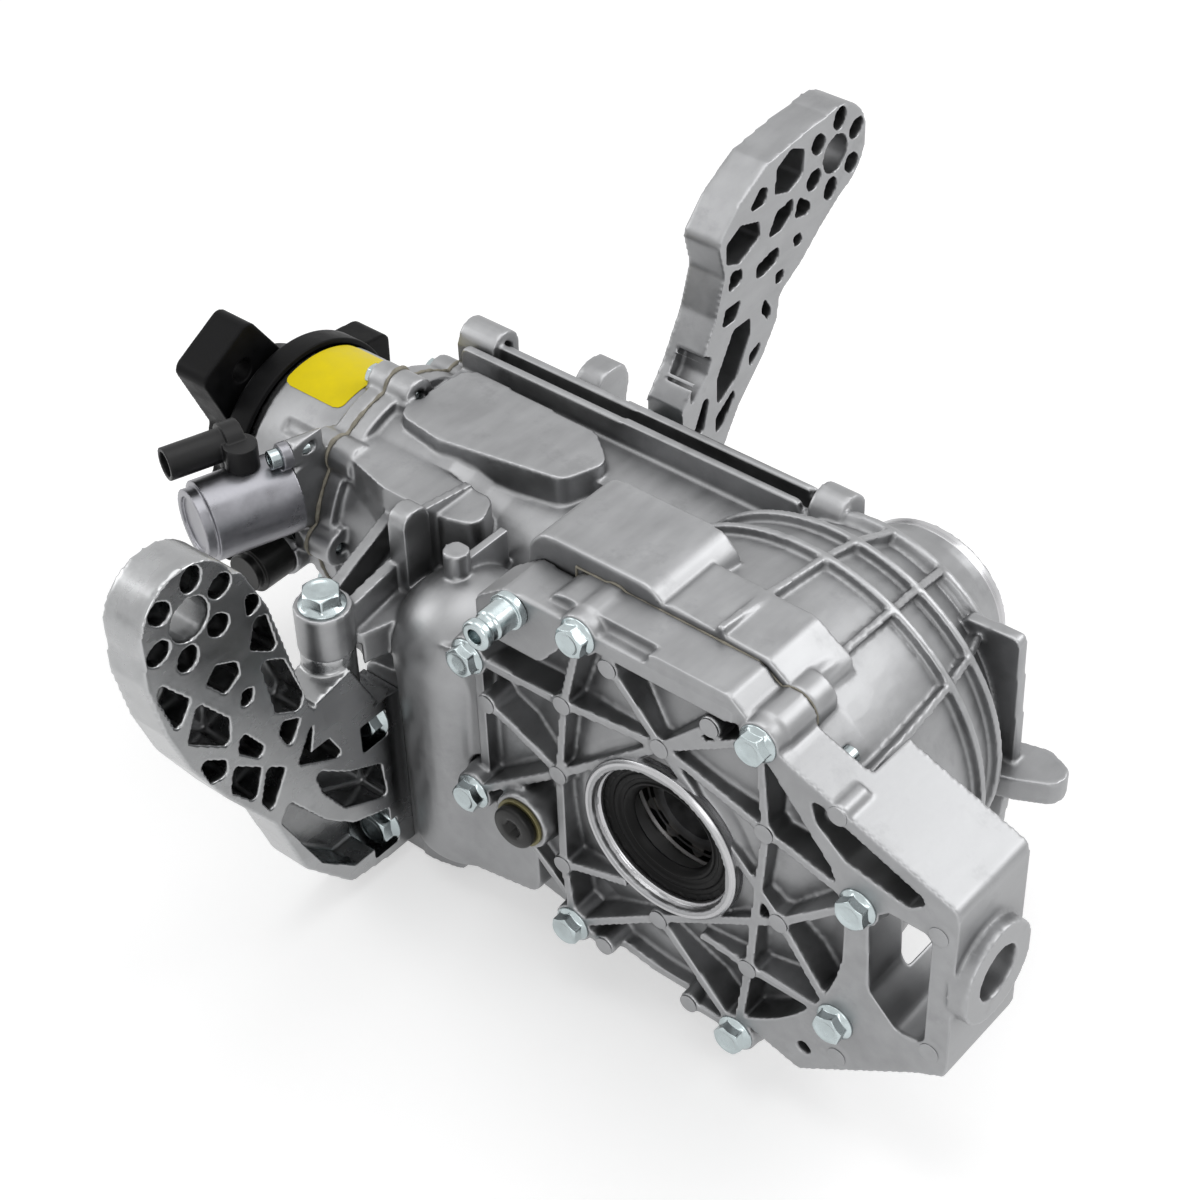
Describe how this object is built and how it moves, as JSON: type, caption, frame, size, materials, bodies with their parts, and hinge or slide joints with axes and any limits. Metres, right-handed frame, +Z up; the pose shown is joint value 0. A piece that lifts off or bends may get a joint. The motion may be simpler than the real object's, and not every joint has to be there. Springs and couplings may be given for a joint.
{
  "type": "rear differential",
  "caption": "Rear axle differential with a ribbed side cover, a clutch barrel, lattice mounting arms and a rear ear; its bevel gears, clutch and outputs turn.",
  "frame": {"origin": "centre of the left output bore at its machined face", "axes": "+X to the rear of the vehicle along the input axis, +Y to the right along the output axis, into the casing, +Z up"},
  "size_m": [0.491, 0.4899, 0.247],
  "materials": {
    "cast_aluminium": "as cast, satin",
    "polished_aluminium": "as cast, bright",
    "turned_aluminium": "turned, satin",
    "zinc_steel": "zinc plated, bright",
    "machined_steel": "ground",
    "gear_steel": "hardened, oiled",
    "case_iron": "cast, oiled",
    "black_steel": "black coated",
    "dark_plug_steel": "dark, satin",
    "olive_washer": "olive, satin",
    "black_plastic": "moulded, matt",
    "seal_rubber": "moulded, matt",
    "joint_sealant": "cured, dull",
    "friction_lining": "paper lining, matt"
  },
  "bodies": {
    "unit": {"actuator_connector": "black_plastic", "actuator_housing": "turned_aluminium", "actuator_screw": "zinc_steel", "breather_nipple": "zinc_steel", "clutch_cover": "cast_aluminium", "clutch_cover_screws": "zinc_steel", "clutch_cover_sealant": "joint_sealant", "clutch_piston": "machined_steel", "drain_plug": "dark_plug_steel", "drain_plug_washer": "olive_washer", "fill_plug": "dark_plug_steel", "fill_plug_washer": "olive_washer", "input_bearing_outer_race": "machined_steel", "input_bearing_snap_ring": "machined_steel", "input_seal": "seal_rubber", "left_arm_bolts": "zinc_steel", "left_carrier_cup": "machined_steel", "left_carrier_shim": "machined_steel", "left_mount_arm": "polished_aluminium", "left_output_seal": "seal_rubber", "main_housing": "cast_aluminium", "pinion_head_cup": "machined_steel", "pinion_tail_cup": "machined_steel", "pressure_sensor": "dark_plug_steel", "right_arm_bolts": "zinc_steel", "right_carrier_cup": "machined_steel", "right_mount_arm": "cast_aluminium", "right_output_seal": "seal_rubber", "side_cover": "cast_aluminium", "side_cover_bolts": "zinc_steel", "side_cover_dowels": "zinc_steel", "side_cover_sealant": "joint_sealant"},
    "input_rotor": {"input_bearing_inner_race": "machined_steel", "input_bearing_balls": "machined_steel", "input_shaft": "machined_steel", "clutch_drum": "machined_steel", "drum_plates": "machined_steel", "input_flange": "black_steel", "dust_ring": "black_steel", "flange_nut": "zinc_steel"},
    "pinion_rotor": {"drive_pinion": "gear_steel", "pinion_head_bearing": "machined_steel", "pinion_tail_bearing": "machined_steel", "pinion_spacer": "machined_steel", "pinion_nut": "machined_steel", "clutch_hub": "machined_steel", "friction_plates": "friction_lining"},
    "carrier": {"differential_case": "case_iron", "ring_gear": "gear_steel", "ring_gear_bolts": "zinc_steel", "cross_pin": "machined_steel", "left_carrier_bearing": "machined_steel", "right_carrier_bearing": "machined_steel"},
    "left_side": {"left_side_gear": "gear_steel"},
    "right_side": {"right_side_gear": "gear_steel"},
    "upper_spider": {"upper_spider_gear": "gear_steel"},
    "lower_spider": {"lower_spider_gear": "gear_steel"}
  },
  "joints": [
    {"name": "input_spin", "type": "hinge", "parent": "unit", "child": "input_rotor", "pos_m": [-0.28, 0.11, 0], "axis": [1, 0, 0], "continuous": true},
    {"name": "carrier_spin", "type": "hinge", "parent": "unit", "child": "carrier", "pos_m": [0, 0.1, 0], "axis": [0, 1, 0], "continuous": true},
    {"name": "pinion_spin", "type": "hinge", "parent": "unit", "child": "pinion_rotor", "pos_m": [-0.12, 0.11, 0], "axis": [1, 0, 0], "continuous": true},
    {"name": "left_side_spin", "type": "hinge", "parent": "carrier", "child": "left_side", "pos_m": [0, 0.07, 0], "axis": [0, 1, 0], "continuous": true},
    {"name": "right_side_spin", "type": "hinge", "parent": "carrier", "child": "right_side", "pos_m": [0, 0.13, 0], "axis": [0, 1, 0], "continuous": true},
    {"name": "upper_spider_spin", "type": "hinge", "parent": "carrier", "child": "upper_spider", "pos_m": [0, 0.101, 0.025], "axis": [0, 0, 1], "continuous": true},
    {"name": "lower_spider_spin", "type": "hinge", "parent": "carrier", "child": "lower_spider", "pos_m": [0, 0.101, -0.025], "axis": [0, 0, 1], "continuous": true}
  ],
  "couplings": [
    {"joint": "pinion_spin", "follows": "carrier_spin", "ratio": -2.5333},
    {"joint": "right_side_spin", "follows": "left_side_spin", "ratio": -1},
    {"joint": "upper_spider_spin", "follows": "left_side_spin", "ratio": 1.4},
    {"joint": "lower_spider_spin", "follows": "left_side_spin", "ratio": -1.4}
  ]
}
